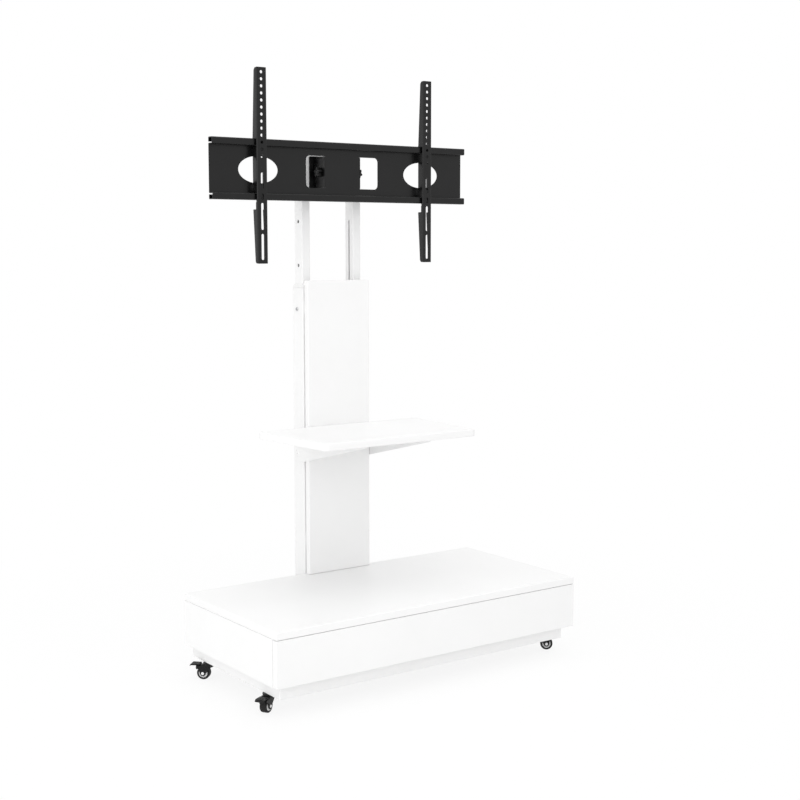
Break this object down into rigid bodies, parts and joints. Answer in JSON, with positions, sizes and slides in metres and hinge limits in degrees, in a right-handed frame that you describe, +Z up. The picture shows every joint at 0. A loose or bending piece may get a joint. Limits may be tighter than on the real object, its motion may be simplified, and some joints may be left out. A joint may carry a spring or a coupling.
{
  "type": "rolling tv stand",
  "caption": "Rolling screen stand: low cabinet with a full-width drawer on casters, column with a shelf, telescoping twin-post mast, tilting cross plate and sliding screen arms.",
  "frame": {"origin": "on the floor, under the middle of the whole stand", "axes": "+Z up, -Y towards the viewer of the screen (the drawer's side), +X to the right seen from the front"},
  "size_m": [0.8134, 0.4446, 1.331],
  "materials": {
    "board_white": "white satin lacquer on board",
    "steel_white": "white powder coat",
    "plastic_white": "white moulded plastic",
    "steel_black": "black satin powder coat",
    "plastic_black": "black moulded plastic",
    "tyre_black": "black soft tread",
    "wheel_white": "pale glossy wheel core",
    "zinc": "zinc plated"
  },
  "bodies": {
    "cabinet": {"top_board": "board_white", "bottom_board": "board_white", "back_board": "board_white", "side_left": "board_white", "side_right": "board_white", "runner_left": "zinc", "runner_right": "zinc", "plinth": "board_white", "column_panel": "board_white", "brace_low": "steel_white", "brace_high": "steel_white", "outer_post_left": "steel_white", "outer_post_right": "steel_white", "collar_left": "plastic_white", "collar_right": "plastic_white", "height_bolt_left": "zinc", "height_bolt_right": "zinc", "shelf_board": "board_white", "shelf_bracket_left": "steel_white", "shelf_bracket_right": "steel_white", "caster_pin_front_left": "steel_black", "caster_pin_front_right": "steel_black", "caster_pin_back_left": "steel_black", "caster_pin_back_right": "steel_black"},
    "drawer": {"drawer_front": "board_white", "drawer_left": "board_white", "drawer_right": "board_white", "drawer_back": "board_white", "drawer_bottom": "board_white", "drawer_rail_left": "zinc", "drawer_rail_right": "zinc"},
    "mast": {"inner_post_left": "steel_white", "inner_post_right": "steel_white", "post_cap_left": "plastic_white", "post_cap_right": "plastic_white", "cross_bar": "steel_white", "pivot_bracket": "steel_black"},
    "head": {"cross_plate": "steel_black"},
    "knob_left": {"tilt_knob_left": "plastic_black"},
    "knob_right": {"tilt_knob_right": "plastic_black"},
    "screen_arm_left": {"arm_left": "steel_black", "arm_hook_left": "steel_black", "arm_clip_left": "steel_black"},
    "screen_arm_right": {"arm_right": "steel_black", "arm_hook_right": "steel_black", "arm_clip_right": "steel_black"},
    "swivel_front_left": {"fork_front_left": "plastic_black"},
    "swivel_front_right": {"fork_front_right": "plastic_black"},
    "swivel_back_left": {"fork_back_left": "plastic_black"},
    "swivel_back_right": {"fork_back_right": "plastic_black"},
    "roller_front_left": {"tyre_front_left": "tyre_black", "wheel_front_left": "wheel_white"},
    "roller_front_right": {"tyre_front_right": "tyre_black", "wheel_front_right": "wheel_white"},
    "roller_back_left": {"tyre_back_left": "tyre_black", "wheel_back_left": "wheel_white"},
    "roller_back_right": {"tyre_back_right": "tyre_black", "wheel_back_right": "wheel_white"},
    "lever_front_left": {"brake_front_left": "plastic_black"},
    "lever_back_left": {"brake_back_left": "plastic_black"}
  },
  "joints": [
    {"name": "drawer_slide", "type": "slide", "parent": "cabinet", "child": "drawer", "axis": [0, -1, 0], "range_m": [0, 0.25]},
    {"name": "height_slide", "type": "slide", "parent": "cabinet", "child": "mast", "axis": [0, 0, 1], "range_m": [-0.2, 0.1]},
    {"name": "head_tilt", "type": "hinge", "parent": "mast", "child": "head", "pos_m": [0, 0.1545, 1.113], "axis": [1, 0, 0], "range_deg": [-8, 8]},
    {"name": "knob_left_spin", "type": "hinge", "parent": "head", "child": "knob_left", "pos_m": [-0.0547, 0.1545, 1.113], "axis": [1, 0, 0], "continuous": true},
    {"name": "knob_right_spin", "type": "hinge", "parent": "head", "child": "knob_right", "pos_m": [0.0547, 0.1545, 1.113], "axis": [1, 0, 0], "continuous": true},
    {"name": "arm_left_slide", "type": "slide", "parent": "head", "child": "screen_arm_left", "axis": [1, 0, 0], "range_m": [-0.0755, 0.1245]},
    {"name": "arm_right_slide", "type": "slide", "parent": "head", "child": "screen_arm_right", "axis": [1, 0, 0], "range_m": [-0.1245, 0.0755]},
    {"name": "front_left_swivel", "type": "hinge", "parent": "cabinet", "child": "swivel_front_left", "pos_m": [-0.372, -0.1417, 0.034], "axis": [0, 0, 1], "continuous": true},
    {"name": "front_right_swivel", "type": "hinge", "parent": "cabinet", "child": "swivel_front_right", "pos_m": [0.372, -0.1417, 0.034], "axis": [0, 0, 1], "continuous": true},
    {"name": "back_left_swivel", "type": "hinge", "parent": "cabinet", "child": "swivel_back_left", "pos_m": [-0.372, 0.1155, 0.034], "axis": [0, 0, 1], "continuous": true},
    {"name": "back_right_swivel", "type": "hinge", "parent": "cabinet", "child": "swivel_back_right", "pos_m": [0.372, 0.1155, 0.034], "axis": [0, 0, 1], "continuous": true},
    {"name": "front_left_roll", "type": "hinge", "parent": "swivel_front_left", "child": "roller_front_left", "pos_m": [-0.38239, -0.1477, 0.0145], "axis": [0.5, -0.866, 0], "continuous": true},
    {"name": "front_right_roll", "type": "hinge", "parent": "swivel_front_right", "child": "roller_front_right", "pos_m": [0.38133, -0.14925, 0.0145], "axis": [0.6293, 0.7771, 0], "continuous": true},
    {"name": "back_left_roll", "type": "hinge", "parent": "swivel_back_left", "child": "roller_back_left", "pos_m": [-0.38034, 0.12413, 0.0145], "axis": [-0.7193, -0.6947, 0], "continuous": true},
    {"name": "back_right_roll", "type": "hinge", "parent": "swivel_back_right", "child": "roller_back_right", "pos_m": [0.38171, 0.12255, 0.0145], "axis": [-0.5878, 0.809, 0], "continuous": true},
    {"name": "front_left_brake", "type": "hinge", "parent": "swivel_front_left", "child": "lever_front_left", "pos_m": [-0.39408, -0.15445, 0.0285], "axis": [0.5, -0.866, 0], "range_deg": [0, 10]},
    {"name": "back_left_brake", "type": "hinge", "parent": "swivel_back_left", "child": "lever_back_left", "pos_m": [-0.38971, 0.13384, 0.0285], "axis": [-0.7193, -0.6947, 0], "range_deg": [0, 10]}
  ]
}
